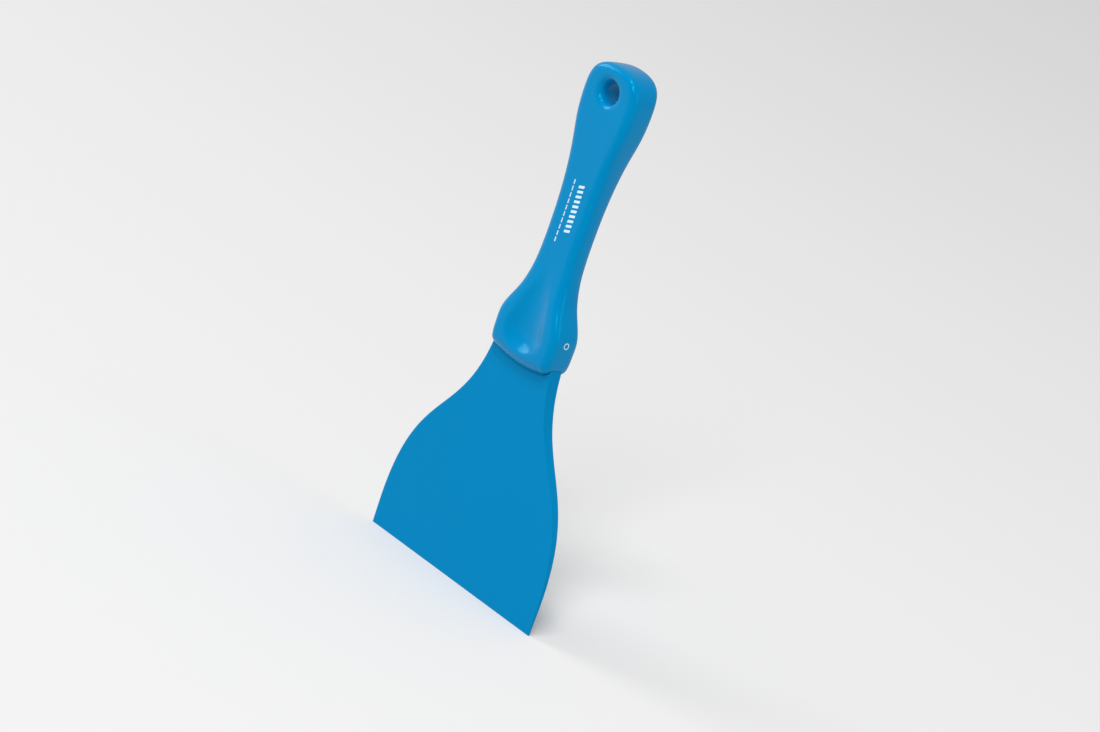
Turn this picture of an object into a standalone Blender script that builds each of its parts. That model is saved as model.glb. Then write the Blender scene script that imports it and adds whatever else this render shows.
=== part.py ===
"""A hand scraper for flat surfaces: a wide plastic blade with a grip moulded over its tang.

The scraper stands upright. The blade's edge lies along X at Z = 0, the handle rises along +Z, and
-Y is the front. The blade is a wedge that thickens from its edge to a neck, where its tang begins.
The tang runs up inside the handle, and three windows in it let the two faces of the handle meet.
"""

import math

import bmesh
import bpy
from mathutils import Matrix, Vector

MM = 0.001

# Overall sizes
BLADE_WIDTH = 112 * MM
OVERALL_LENGTH = 244.5 * MM
COLLAR_HEIGHT = 104.5 * MM        # from the blade's edge to the middle of the handle's lower rim

# Blade
EDGE_THICKNESS = 0.8 * MM
NECK_THICKNESS = 6.5 * MM         # at the handle's rim
NECK_SHARE = 0.5                  # how far up the handle's corners the blade's shoulders reach
SIDE_STRAIGHT = 11 * MM           # upright stretch of each side above the edge's corners
SIDE_SWEEP_LOW = 59 * MM          # how long the side's curve keeps its upright start
SIDE_SWEEP_HIGH = 46 * MM         # how long it keeps the neck's slant
NECK_SLANT = 0.11                 # sideways run of the neck's sides for each unit of rise

# Tang, hidden in the handle
ROOT_WIDTH = 28 * MM
ROOT_DEPTH = 9 * MM               # how far the full-thickness root enters the handle
TANG_WIDTH = 15 * MM
TANG_THICKNESS = 4 * MM
TANG_TAPER = 2 * MM               # rise over which the root thins to the tang, each way
TANG_TO_HOLE = 6 * MM             # wall between the tang's round end and the mouth of the hole
WINDOW_WIDTH = 7 * MM
WINDOW_LENGTH = 15 * MM
WINDOW_COUNT = 3
MOULD_GAP = 0.3 * MM              # between the blade and the handle, all round

# Handle outline, as half-widths and heights above the rim
RIM_RADIUS = 62 * MM              # the lower rim is a shallow arc
RIM_HALF = 15.5 * MM
CORNER_PULL = 0.85                # how square the rim's corners are, from 0 to 1
BULB_HALF = 19.8 * MM
BULB_RISE = 17 * MM
SHOULDER_HALF = 14 * MM
SHOULDER_RISE = 33.3 * MM
WAIST_HALF = 11 * MM
WAIST_RISE = 60.5 * MM
POMMEL_HALF = 16.7 * MM
POMMEL_DROP = 15 * MM             # widest place of the pommel, below the handle's top
SHOULDER_SLANT = 0.3              # sideways run of the outline at the shoulder for each unit of rise

# Handle thickness
RIM_STEP = 0.75 * MM              # how far the lower rim stands out from the blade's neck
RIM_ROUND = 10.6 * MM             # height over which the faces curve in to the rim
BULB_THICKNESS = 16.4 * MM
BULB_TOP = 14 * MM                # where the bulb starts to thin, above the rim
WAIST_THICKNESS = 11.2 * MM
WAIST_FLAT = 20 * MM              # stretch of constant thickness at the waist
WAIST_START = 47.5 * MM           # its lower end, above the rim
POMMEL_THICKNESS = 15.4 * MM
TIP_THICKNESS = 17.2 * MM
EDGE_RADIUS = 3.6 * MM            # rounding between the handle's faces and its sides

# Hole for a hook
HOLE_RADIUS = 5 * MM
HOLE_DROP = 12.5 * MM             # from the handle's top to the hole's axis
MOUTH_RADIUS = 3.2 * MM           # rounding of each mouth

# Thumb scoops, one in each face
SCOOP_HALF_WIDTH = 12 * MM
SCOOP_DEPTH = 3 * MM
SCOOP_RISE = 15 * MM              # from the rim to the scoop's widest place
SCOOP_BELOW = 9.5 * MM            # from there down to its round end
SCOOP_ABOVE = 27 * MM             # and up to its tip
SCOOP_TAPER = 0.45                # share of the width lost towards the tip

# Finish of the two mouldings
BLADE_COLOUR = (0.0, 0.235, 0.485)
HANDLE_COLOUR = (0.0, 0.255, 0.54)

CURVE_STEPS = 14
ROUND_STEPS = 32
CUT_MARGIN = 5 * MM               # how far a cutter reaches past what it cuts
QUARTER_ARC = 0.5523              # handle length of a cubic curve that draws a quarter circle

top = OVERALL_LENGTH
rim = COLLAR_HEIGHT
tang_top = top - HOLE_DROP - HOLE_RADIUS - MOUTH_RADIUS - TANG_TO_HOLE
root_top = rim + ROOT_DEPTH
deepest = max(BULB_THICKNESS, POMMEL_THICKNESS, TIP_THICKNESS)


def rim_height(x):
    """Height of the handle's lower rim at a distance x from the middle."""
    return rim + RIM_RADIUS - math.sqrt(RIM_RADIUS**2 - x**2)


def blend(low, high, share):
    """Smooth change from low to high as share goes from 0 to 1."""
    share = min(max(share, 0.0), 1.0)
    return low + (high - low) * share * share * (3 - 2 * share)


def half_thickness(z):
    """Half the handle's thickness at height z: thick at the bulb and pommel, thin at the waist."""
    bulb = rim + BULB_TOP
    waist_low = rim + WAIST_START
    waist_high = waist_low + WAIST_FLAT
    pommel = top - POMMEL_DROP
    if z < waist_low:
        return blend(BULB_THICKNESS, WAIST_THICKNESS, (z - bulb) / (waist_low - bulb)) / 2
    if z < pommel:
        return blend(WAIST_THICKNESS, POMMEL_THICKNESS, (z - waist_high) / (pommel - waist_high)) / 2
    return blend(POMMEL_THICKNESS, TIP_THICKNESS, (z - pommel) / POMMEL_DROP) / 2


def start_scene():
    """Empty the scene and make one collection for the parts and one for the cutters."""
    for item in list(bpy.data.objects):
        bpy.data.objects.remove(item)
    made = []
    for name in ("hand_scraper", "cutters"):
        collection = bpy.data.collections.new(name)
        bpy.context.scene.collection.children.link(collection)
        made.append(collection)
    return made


def finish(piece, colour, roughness):
    """Give a part its own moulded-plastic material."""
    material = bpy.data.materials.new(piece.name + "_plastic")
    material.use_nodes = True
    shader = material.node_tree.nodes["Principled BSDF"]
    shader.inputs["Base Color"].default_value = (*colour, 1)
    shader.inputs["Roughness"].default_value = roughness
    shader.inputs["Metallic"].default_value = 0
    material.diffuse_color = (*colour, 1)
    piece.data.materials.append(material)


def knot(x, z, before=(0, 0), after=(0, 0)):
    """A point of an outline, with the offsets of the curve handles before and after it."""
    return (x, z), (x + before[0], z + before[1]), (x + after[0], z + after[1])


def mirrored(knots):
    """Close a right-hand outline, drawn bottom to top, with its mirror image."""
    left = []
    for point, before, after in reversed(knots):
        if point[0] > 0:
            left.append(((-point[0], point[1]), (-after[0], after[1]), (-before[0], before[1])))
    return knots + left


def as_mesh(piece):
    """Replace a curve with the welded mesh it draws."""
    bpy.context.view_layer.update()
    shape = piece.evaluated_get(bpy.context.evaluated_depsgraph_get())
    mesh = bpy.data.meshes.new_from_object(shape)
    mesh.transform(piece.matrix_world)
    solid = bpy.data.objects.new(piece.name, mesh)
    collection = piece.users_collection[0]
    name = piece.name
    bpy.data.objects.remove(piece)
    solid.name = name
    collection.objects.link(solid)
    body = bmesh.new()
    body.from_mesh(mesh)
    bmesh.ops.remove_doubles(body, verts=body.verts, dist=0.001 * MM)
    bmesh.ops.dissolve_limit(body, angle_limit=math.radians(0.05), verts=body.verts, edges=body.edges)
    bmesh.ops.recalc_face_normals(body, faces=body.faces)
    body.to_mesh(mesh)
    body.free()
    return solid


def plate(name, outlines, half_depth, collection, turn=Matrix.Rotation(math.pi / 2, 4, "X")):
    """Extrude flat outlines both ways. They are drawn in X and Z unless turned otherwise."""
    curve = bpy.data.curves.new(name, "CURVE")
    curve.dimensions = "2D"
    curve.fill_mode = "BOTH"
    curve.extrude = half_depth
    curve.resolution_u = CURVE_STEPS
    for knots in outlines:
        line = curve.splines.new("BEZIER")
        line.bezier_points.add(len(knots) - 1)
        for target, (point, before, after) in zip(line.bezier_points, knots):
            target.handle_left_type = target.handle_right_type = "FREE"
            target.co = (*point, 0)
            target.handle_left = (*before, 0)
            target.handle_right = (*after, 0)
        line.use_cyclic_u = True
    piece = bpy.data.objects.new(name, curve)
    piece.matrix_world = turn
    collection.objects.link(piece)
    return as_mesh(piece)


def combine(piece, other, operation):
    """Add a Boolean to a part and put its other shape among the cutters."""
    other.hide_render = True
    other.display_type = "WIRE"
    step = piece.modifiers.new(other.name, "BOOLEAN")
    step.operation = operation
    step.solver = "EXACT"
    step.object = other


def apply_modifiers(piece):
    """Make a part's modifiers part of its mesh."""
    bpy.context.view_layer.update()
    shape = piece.evaluated_get(bpy.context.evaluated_depsgraph_get())
    mesh = bpy.data.meshes.new_from_object(shape)
    piece.modifiers.clear()
    piece.data = mesh


def wedge(name, grow, collection):
    """The blade and tang from the side, thickened by grow and extruded past the blade's width."""
    slope = (NECK_THICKNESS - EDGE_THICKNESS) / 2 / rim
    low = -CUT_MARGIN
    taper_low = root_top - TANG_TAPER
    taper_high = root_top + TANG_TAPER
    right = [
        knot(EDGE_THICKNESS / 2 + slope * low + grow, low),
        knot(EDGE_THICKNESS / 2 + slope * taper_low + grow, taper_low),
        knot(TANG_THICKNESS / 2 + grow, taper_high),
        knot(TANG_THICKNESS / 2 + grow, tang_top + CUT_MARGIN),
    ]
    turn = Matrix.Rotation(math.pi / 2, 4, "Z") @ Matrix.Rotation(math.pi / 2, 4, "X")
    return plate(name, [mirrored(right)], BLADE_WIDTH / 2 + CUT_MARGIN, collection, turn)


def tang_knots(grow):
    """Right-hand outline from the root's lower end to the tang's round top."""
    half = TANG_WIDTH / 2 + grow
    bow = QUARTER_ARC * half
    return [
        knot(ROOT_WIDTH / 2 + grow, root_top + grow),
        knot(half, root_top + grow),
        knot(half, tang_top + grow - half, after=(0, bow)),
        knot(0, tang_top + grow, before=(bow, 0), after=(-bow, 0)),
    ]


def window_outline(middle, shrink):
    """Outline of a round-ended window, smaller by shrink all round."""
    half = WINDOW_WIDTH / 2 - shrink
    straight = (WINDOW_LENGTH - WINDOW_WIDTH) / 2
    bow = QUARTER_ARC * half
    right = [
        knot(0, middle - straight - half, before=(-bow, 0), after=(bow, 0)),
        knot(half, middle - straight, before=(0, -bow)),
        knot(half, middle + straight, after=(0, bow)),
        knot(0, middle + straight + half, before=(bow, 0), after=(-bow, 0)),
    ]
    return mirrored(right)


def window_heights():
    """Middles of the windows, spaced evenly between the root and the tang's end."""
    low = root_top + TANG_TAPER
    pitch = (tang_top - TANG_WIDTH / 2 - low) / WINDOW_COUNT
    return [low + pitch * (number + 0.5) for number in range(WINDOW_COUNT)]


def cut_tang(piece, grow, collection):
    """Thin a plate to the wedge's thickness and open the tang's windows."""
    combine(piece, wedge(piece.name + "_wedge", grow, collection), "INTERSECT")
    outlines = [window_outline(middle, grow) for middle in window_heights()]
    combine(piece, plate(piece.name + "_windows", outlines, TANG_THICKNESS, collection), "DIFFERENCE")
    apply_modifiers(piece)


def shoulder_curve():
    """Four points of the curve of a blade's shoulder: part of the handle's corner, moved out by the gap."""
    corner, bulb = handle_outline()[1:3]
    points = [Vector(corner[0]), Vector(corner[2]), Vector(bulb[1]), Vector(bulb[0])]
    first = [points[0]]
    while len(points) > 1:
        points = [a.lerp(b, NECK_SHARE) for a, b in zip(points, points[1:])]
        first.append(points[0])
    low = (first[1] - first[0]).normalized()
    high = (first[3] - first[2]).normalized()
    outward = [MOULD_GAP * Vector((along.y, -along.x)) for along in (low, low, high, high)]
    return [point + step for point, step in zip(first, outward)]


def make_blade(parts, cutters):
    """The blade: swept sides, shoulders that follow the handle's rim, and the tang."""
    half = BLADE_WIDTH / 2
    root = ROOT_WIDTH / 2
    slant = (NECK_SLANT * SIDE_SWEEP_HIGH, -SIDE_SWEEP_HIGH)
    low, low_pull, high_pull, high = shoulder_curve()
    right = [
        knot(0, 0),
        knot(half, 0),
        knot(half, SIDE_STRAIGHT, after=(0, SIDE_SWEEP_LOW)),
        knot(*high, before=slant, after=(high_pull - high)),
        knot(*low, before=(low_pull - low)),
        knot(root, rim_height(root) - MOULD_GAP),
    ]
    blade = plate("blade", [mirrored(right + tang_knots(0))], NECK_THICKNESS, parts)
    cut_tang(blade, 0, cutters)
    finish(blade, BLADE_COLOUR, 0.42)
    return blade


def handle_outline():
    """Right-hand outline of the handle, from the rim's middle to the top.

    Each curve handle is a share of the distance to the next point.
    """
    corner = rim_height(RIM_HALF)
    rim_slope = RIM_HALF / math.sqrt(RIM_RADIUS**2 - RIM_HALF**2)
    rim_pull = RIM_HALF / 3
    round_off = (BULB_HALF - RIM_HALF) * CORNER_PULL
    bulb = rim + BULB_RISE
    shoulder = rim + SHOULDER_RISE
    waist = rim + WAIST_RISE
    pommel = top - POMMEL_DROP
    into_shoulder = (shoulder - bulb) * 0.33
    out_of_shoulder = (waist - shoulder) * 0.15
    return [
        knot(0, rim, before=(-rim_pull, 0), after=(rim_pull, 0)),
        knot(RIM_HALF, corner, before=(-rim_pull, -rim_pull * rim_slope),
             after=(round_off, round_off * rim_slope)),
        knot(BULB_HALF, bulb, before=(0, (corner - bulb) * CORNER_PULL), after=(0, (shoulder - bulb) * 0.33)),
        knot(SHOULDER_HALF, shoulder,
             before=(SHOULDER_SLANT * into_shoulder, -into_shoulder),
             after=(-SHOULDER_SLANT * out_of_shoulder, out_of_shoulder)),
        knot(WAIST_HALF, waist, before=(0, (shoulder - waist) * 0.55), after=(0, (pommel - waist) * 0.75)),
        knot(POMMEL_HALF, pommel, before=(0, (waist - pommel) * 0.36), after=(0, POMMEL_DROP * 0.74)),
        knot(0, top, before=(POMMEL_HALF * 0.65, 0), after=(-POMMEL_HALF * 0.65, 0)),
    ]


def rib_faces(body, level):
    """Join each point of the two flat faces to its twin, so that the faces can bend along Z."""
    for side in (-level, level):
        ring = [v for v in body.verts if abs(v.co.y - side) < 0.001 * MM]
        for right in [v for v in ring if v.co.x > 0.01 * MM]:
            left = min(ring, key=lambda v: abs(v.co.x + right.co.x) + abs(v.co.z - right.co.z))
            bmesh.ops.connect_verts(body, verts=[left, right])


def make_grip_body(parts):
    """The handle's outer form: an extruded outline with round edges and a varying thickness."""
    grip = plate("handle", [mirrored(handle_outline())], deepest / 2, parts)
    step = grip.modifiers.new("round_edges", "BEVEL")
    step.limit_method = "ANGLE"
    step.angle_limit = math.radians(60)
    step.width = EDGE_RADIUS
    step.segments = 5
    apply_modifiers(grip)
    body = bmesh.new()
    body.from_mesh(grip.data)
    rib_faces(body, deepest / 2)
    for point in body.verts:
        into_edge = deepest / 2 - abs(point.co.y)
        if into_edge < EDGE_RADIUS + 0.01 * MM:
            point.co.y = math.copysign(half_thickness(point.co.z) - into_edge, point.co.y)
    bmesh.ops.triangulate(body, faces=body.faces)
    body.to_mesh(grip.data)
    body.free()
    return grip


def rim_round(name, side, collection):
    """Cutter that curves one face of the handle in to the rim, as a quarter ellipse along the arc."""
    rim_depth = NECK_THICKNESS / 2 + RIM_STEP
    reach = deepest / 2 + CUT_MARGIN
    profile = [(rim_depth, -CUT_MARGIN), (reach, -CUT_MARGIN), (reach, RIM_ROUND)]
    for angle in range(90, -1, -10):
        turn = math.radians(angle)
        depth = rim_depth + (half_thickness(rim) - rim_depth) * math.sin(turn)
        profile.append((depth, RIM_ROUND * (1 - math.cos(turn))))
    half = BULB_HALF + CUT_MARGIN
    body = bmesh.new()
    sections = []
    for step in range(2 * CURVE_STEPS + 1):
        x = half * (step / CURVE_STEPS - 1)
        level = rim_height(x)
        sections.append([body.verts.new((x, side * depth, level + rise)) for depth, rise in profile])
    for low, high in zip(sections, sections[1:]):
        for place in range(len(profile)):
            body.faces.new((low[place - 1], low[place], high[place], high[place - 1]))
    body.faces.new(sections[0])
    body.faces.new(sections[-1])
    bmesh.ops.recalc_face_normals(body, faces=body.faces)
    mesh = bpy.data.meshes.new(name)
    body.to_mesh(mesh)
    body.free()
    cutter = bpy.data.objects.new(name, mesh)
    collection.objects.link(cutter)
    return cutter


def hook_hole(collection):
    """Cutter for the hole: a bore that flares with a round mouth at each face."""
    height = top - HOLE_DROP
    face = half_thickness(height)
    arc = [math.radians(angle) for angle in range(0, 91, 15)]
    flare = [(HOLE_RADIUS + MOUTH_RADIUS * (1 - math.sin(a)), face - MOUTH_RADIUS * (1 - math.cos(a)))
             for a in arc]
    reach = face + CUT_MARGIN
    profile = [(0, reach), (HOLE_RADIUS + MOUTH_RADIUS, reach)] + flare
    profile += [(radius, -depth) for radius, depth in reversed(profile)]
    mesh = bpy.data.meshes.new("hook_hole")
    mesh.from_pydata([(radius, 0, depth) for radius, depth in profile],
                     [(place, place + 1) for place in range(len(profile) - 1)], [])
    cutter = bpy.data.objects.new("hook_hole", mesh)
    collection.objects.link(cutter)
    turn = cutter.modifiers.new("turn", "SCREW")
    turn.steps = turn.render_steps = ROUND_STEPS
    turn.use_merge_vertices = True
    turn.merge_threshold = 0.001 * MM
    cutter.rotation_euler.x = math.pi / 2
    cutter.location.z = height
    return cutter


def thumb_scoop(name, side, collection):
    """Cutter for a scoop: a flattened ball drawn out to a tip, with its middle outside the face."""
    swell = 1 / math.sqrt(1 - 0.5**2)     # the ball is this much wider than what it cuts
    body = bmesh.new()
    bmesh.ops.create_uvsphere(body, u_segments=28, v_segments=18, radius=1)
    for point in body.verts:
        across, depth, rise = point.co
        taper = 1 - SCOOP_TAPER * max(rise, 0)
        reach = SCOOP_ABOVE if rise > 0 else SCOOP_BELOW
        z = rim + SCOOP_RISE + rise * swell * reach
        point.co.x = across * SCOOP_HALF_WIDTH * swell * taper
        point.co.y = side * half_thickness(z) + SCOOP_DEPTH * taper * (side + 2 * depth)
        point.co.z = z
    mesh = bpy.data.meshes.new(name)
    body.to_mesh(mesh)
    body.free()
    cutter = bpy.data.objects.new(name, mesh)
    collection.objects.link(cutter)
    return cutter


def tang_pocket(collection):
    """Cutter for the pocket that holds the tang, larger than it by the moulding gap."""
    root = ROOT_WIDTH / 2 + MOULD_GAP
    low = rim - CUT_MARGIN
    right = [knot(0, low), knot(root, low)] + tang_knots(MOULD_GAP)
    pocket = plate("tang_pocket", [mirrored(right)], NECK_THICKNESS, collection)
    cut_tang(pocket, MOULD_GAP, collection)
    return pocket


def make_handle(parts, cutters):
    """The handle, with its tang pocket, hook hole and thumb scoops cut."""
    handle = make_grip_body(parts)
    combine(handle, rim_round("front_rim", -1, cutters), "DIFFERENCE")
    combine(handle, rim_round("back_rim", 1, cutters), "DIFFERENCE")
    combine(handle, tang_pocket(cutters), "DIFFERENCE")
    combine(handle, hook_hole(cutters), "DIFFERENCE")
    combine(handle, thumb_scoop("front_scoop", -1, cutters), "DIFFERENCE")
    combine(handle, thumb_scoop("back_scoop", 1, cutters), "DIFFERENCE")
    finish(handle, HANDLE_COLOUR, 0.3)
    return handle


def shade(piece):
    """Smooth the rounded surfaces and keep the real edges sharp."""
    apply_modifiers(piece)
    piece.data.shade_smooth()
    piece.data.set_sharp_from_angle(angle=math.radians(35))


parts_collection, cutter_collection = start_scene()
for part in (make_blade(parts_collection, cutter_collection),
             make_handle(parts_collection, cutter_collection)):
    shade(part)
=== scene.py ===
# %% [markdown]
# # A moulded hand scraper
# The tool has two plastic mouldings. The blade is a wide wedge with swept sides, and its tang runs
# up inside the handle. The handle is moulded over that tang, with a bulb for the thumb, a narrow
# waist and a pommel with a hole for a hook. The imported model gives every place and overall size.

import math

import bmesh
import bpy
from mathutils import Matrix, Vector


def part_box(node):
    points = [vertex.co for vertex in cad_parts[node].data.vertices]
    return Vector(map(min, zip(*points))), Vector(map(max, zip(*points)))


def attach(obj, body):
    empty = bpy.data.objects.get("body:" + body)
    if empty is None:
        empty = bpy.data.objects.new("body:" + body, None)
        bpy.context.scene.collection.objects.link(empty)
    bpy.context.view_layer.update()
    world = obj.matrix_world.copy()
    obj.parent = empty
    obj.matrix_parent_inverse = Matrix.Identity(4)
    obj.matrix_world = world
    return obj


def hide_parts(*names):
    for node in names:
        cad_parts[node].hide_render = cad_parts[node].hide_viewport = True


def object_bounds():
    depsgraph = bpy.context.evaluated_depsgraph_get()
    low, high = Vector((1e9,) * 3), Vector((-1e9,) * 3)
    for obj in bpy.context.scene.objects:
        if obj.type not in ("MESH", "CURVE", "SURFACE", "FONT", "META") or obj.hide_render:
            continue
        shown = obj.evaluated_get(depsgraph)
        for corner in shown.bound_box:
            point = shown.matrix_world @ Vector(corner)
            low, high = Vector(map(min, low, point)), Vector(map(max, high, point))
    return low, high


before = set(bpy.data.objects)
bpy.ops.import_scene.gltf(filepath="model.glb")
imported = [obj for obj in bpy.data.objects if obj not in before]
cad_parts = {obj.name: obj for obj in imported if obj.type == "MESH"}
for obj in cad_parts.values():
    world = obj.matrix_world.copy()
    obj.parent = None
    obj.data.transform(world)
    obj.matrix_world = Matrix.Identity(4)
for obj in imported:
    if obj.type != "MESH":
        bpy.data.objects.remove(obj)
cad_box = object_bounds()
MM = 0.001
blade_low, blade_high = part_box("blade")
handle_low, handle_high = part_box("handle")
print("frame box", [round(v / MM, 1) for corner in cad_box for v in corner])

# %% [markdown]
# ## Helpers for modelling by hand
# An operator works on whatever is selected, so each step starts with nothing selected and then
# picks points, edges or faces by their place or the way they face.


# %% Selection helpers
def fresh_start():
    """Leave edit mode and deselect every object."""
    if bpy.context.object and bpy.context.object.mode != "OBJECT":
        bpy.ops.object.mode_set(mode="OBJECT")
    bpy.ops.object.select_all(action="DESELECT")


def begin(piece, name=None):
    """Select one object alone, make it active and give it a name."""
    fresh_start()
    piece.select_set(True)
    bpy.context.view_layer.objects.active = piece
    if name:
        piece.name = piece.data.name = name
    return piece


def pick(kind, wanted):
    """In edit mode, select the points, edges or faces that are wanted, and count them."""
    bpy.ops.mesh.select_mode(type=kind)
    bpy.ops.mesh.select_all(action="DESELECT")
    body = bmesh.from_edit_mesh(bpy.context.object.data)
    items = {"VERT": body.verts, "EDGE": body.edges, "FACE": body.faces}[kind]
    chosen = [item for item in items if wanted(item)]
    for item in chosen:
        item.select_set(True)
    body.select_flush_mode()
    bmesh.update_edit_mesh(bpy.context.object.data)
    return len(chosen)


def looks_up(face, least=0.9):
    """Whether a face looks up: 1 is level, and a lower limit allows a slope."""
    return face.normal.z > least


def use(piece, kind, name, **settings):
    """Add a modifier to a piece and apply it at once."""
    step = piece.modifiers.new(name, kind)
    for key, value in settings.items():
        setattr(step, key, value)
    begin(piece)
    bpy.ops.object.modifier_apply(modifier=name)


def settle(piece):
    """Put a piece's place into its mesh, so that its object sits unturned at the origin."""
    begin(piece)
    bpy.ops.object.transform_apply(location=True, rotation=True, scale=True)
    return piece


def face_out(piece):
    """Merge doubled points and turn every face outwards."""
    begin(piece)
    bpy.ops.object.mode_set(mode="EDIT")
    bpy.ops.mesh.select_all(action="SELECT")
    bpy.ops.mesh.remove_doubles(threshold=0.002 * MM)
    bpy.ops.mesh.normals_make_consistent(inside=False)
    bpy.ops.object.mode_set(mode="OBJECT")


def cubic(start, pull_out, pull_in, end, share):
    """A point on a cubic curve between two knots."""
    rest = 1 - share
    return (start * rest**3 + 3 * pull_out * rest * rest * share
            + 3 * pull_in * rest * share * share + end * share**3)


def blend(low, high, share):
    """Smooth change from low to high as share goes from 0 to 1."""
    share = min(max(share, 0.0), 1.0)
    return low + (high - low) * share * share * (3 - 2 * share)


print("helpers ready")

# %% [markdown]
# ## Shapes that both mouldings share
# The handle's lower rim is a shallow arc with a round corner at each end, and the blade's shoulders
# follow the arc and the start of both corners from below. The grip is thick at the bulb and the
# pommel and thin at the waist, so its thickness is a smooth function of height. Writing each rule
# once keeps the two pieces in step.

# %% Shared sizes
top = handle_high.z
rim = handle_low.z
RIM_RADIUS = 62 * MM
RIM_HALF = 15.5 * MM
CORNER_PULL = 0.85
BULB_HALF = handle_high.x
CORNER_RUN = (BULB_HALF - RIM_HALF) * CORNER_PULL
BULB_RISE = 17 * MM
SHOULDER_HALF = 14 * MM
SHOULDER_RISE = 33.3 * MM
SHOULDER_SLANT = 0.3
WAIST_HALF = 11 * MM
WAIST_RISE = 60.5 * MM
POMMEL_HALF = 16.7 * MM
POMMEL_DROP = 15 * MM
RIM_THICKNESS = 8 * MM
RIM_ROUND = 10.6 * MM
BULB_THICKNESS = 16.4 * MM
BULB_TOP = 14 * MM
WAIST_THICKNESS = 11.2 * MM
WAIST_START = 47.5 * MM
WAIST_FLAT = 20 * MM
POMMEL_THICKNESS = 15.4 * MM
TIP_THICKNESS = 17.2 * MM
EDGE_RADIUS = 3.4 * MM
HOLE_HEIGHT = top - 12.5 * MM
HOLE_RADIUS = 5 * MM
MOUTH_RADIUS = 3.2 * MM
SEAM = 0.1 * MM
TANGENT_STEP = 0.001


def rim_height(x):
    """Height of the handle's lower rim at a distance x from the middle."""
    return rim + RIM_RADIUS - math.sqrt(RIM_RADIUS**2 - x**2)


def rim_slope(x):
    """Slope of the rim's arc at a distance x from the middle."""
    return x / math.sqrt(RIM_RADIUS**2 - x**2)


def half_thickness(z):
    """Half the handle's thickness at height z."""
    bulb = rim + BULB_TOP
    waist_low = rim + WAIST_START
    waist_high = waist_low + WAIST_FLAT
    pommel = top - POMMEL_DROP
    if z < waist_low:
        return blend(BULB_THICKNESS, WAIST_THICKNESS, (z - bulb) / (waist_low - bulb)) / 2
    if z < pommel:
        rise = (z - waist_high) / (pommel - waist_high)
        return blend(WAIST_THICKNESS, POMMEL_THICKNESS, rise) / 2
    return blend(POMMEL_THICKNESS, TIP_THICKNESS, (z - pommel) / POMMEL_DROP) / 2


def corner_curve(share, gap=0.0):
    """A point of the rim's right-hand corner, from the arc at share 0 to the bulb at share 1."""
    corner = rim_height(RIM_HALF)
    bulb = rim + BULB_RISE
    spots = [Vector((RIM_HALF, corner)),
             Vector((RIM_HALF + CORNER_RUN, corner + CORNER_RUN * rim_slope(RIM_HALF))),
             Vector((BULB_HALF, bulb + (corner - bulb) * CORNER_PULL)), Vector((BULB_HALF, bulb))]
    here, ahead = (cubic(*spots, share + step) for step in (0, TANGENT_STEP))
    along = (ahead - here).normalized()
    return here + gap * Vector((along.y, -along.x))


print("rim at", round(rim / MM, 1), "top at", round(top / MM, 1))

# %% [markdown]
# ## The blade
# The real blade is one wedge, under a millimetre thick at its edge and more than six at the neck.
# It could be a flat sheet with a tapered thickness, but a slab whose top face is extruded row by row
# keeps every face a clean four-sided one: each new row is moved up and resized in X to the sweep of
# the sides and in Y to the wedge. Lines up the blade let the last rows be pulled down afterwards, so
# that the shoulders meet the handle's rim and corners.

# %% Blade sizes
EDGE_THICKNESS = 0.8 * MM
NECK_THICKNESS = 6.5 * MM
SIDE_STRAIGHT = 11 * MM
SIDE_SWEEP_LOW = 59 * MM
SIDE_SWEEP_HIGH = 46 * MM
NECK_SLANT = 0.11
ROOT_HALF = 14 * MM
TANG_HALF = 7.5 * MM
TANG_THICKNESS = 4 * MM
ROOT_DEPTH = 9 * MM
TANG_TOP = blade_high.z
BLADE_ROWS = 44
SHOULDER_FADE = 40 * MM
CORNER_STEP = 0.1
CORNER_LINES = 6
edge_half = blade_high.x
corner_points = [corner_curve(CORNER_STEP * number, SEAM) for number in range(CORNER_LINES)]
NECK_HALF, shoulder = corner_points[-1]
# Each line up the blade is its distance from the middle and the height where it meets the handle.
columns = [(TANG_HALF, rim_height(TANG_HALF) - SEAM), (ROOT_HALF, rim_height(ROOT_HALF) - SEAM)]
columns += [(point.x, point.y) for point in corner_points]


def wedge_thickness(z):
    """Thickness of the blade at height z."""
    return EDGE_THICKNESS + (NECK_THICKNESS - EDGE_THICKNESS) * z / rim


def side_rows():
    """Half-width and height of each row of the swept side, from the straight stretch to the neck."""
    rows = []
    for number in range(1, BLADE_ROWS + 1):
        share = number / BLADE_ROWS
        half = cubic(edge_half, edge_half,
                     NECK_HALF + NECK_SLANT * SIDE_SWEEP_HIGH, NECK_HALF, share)
        height = cubic(SIDE_STRAIGHT, SIDE_STRAIGHT + SIDE_SWEEP_LOW,
                       shoulder - SIDE_SWEEP_HIGH, shoulder, share)
        rows.append((half, height))
    return rows


# %% Blade: raise one row after another
def raise_row(old, new):
    """Extrude what is selected up to a new row. A row is a half-width, a height and a thickness."""
    bpy.ops.mesh.extrude_region_move(TRANSFORM_OT_translate={"value": (0, 0, new[1] - old[1])})
    bpy.ops.transform.resize(value=(new[0] / old[0], new[2] / old[2], 1),
                             center_override=(0, 0, new[1]))


def raise_rows(row, rows):
    """Raise one row after another, starting from the row that is selected."""
    for above in rows:
        raise_row(row, above)
        row = above


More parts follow.
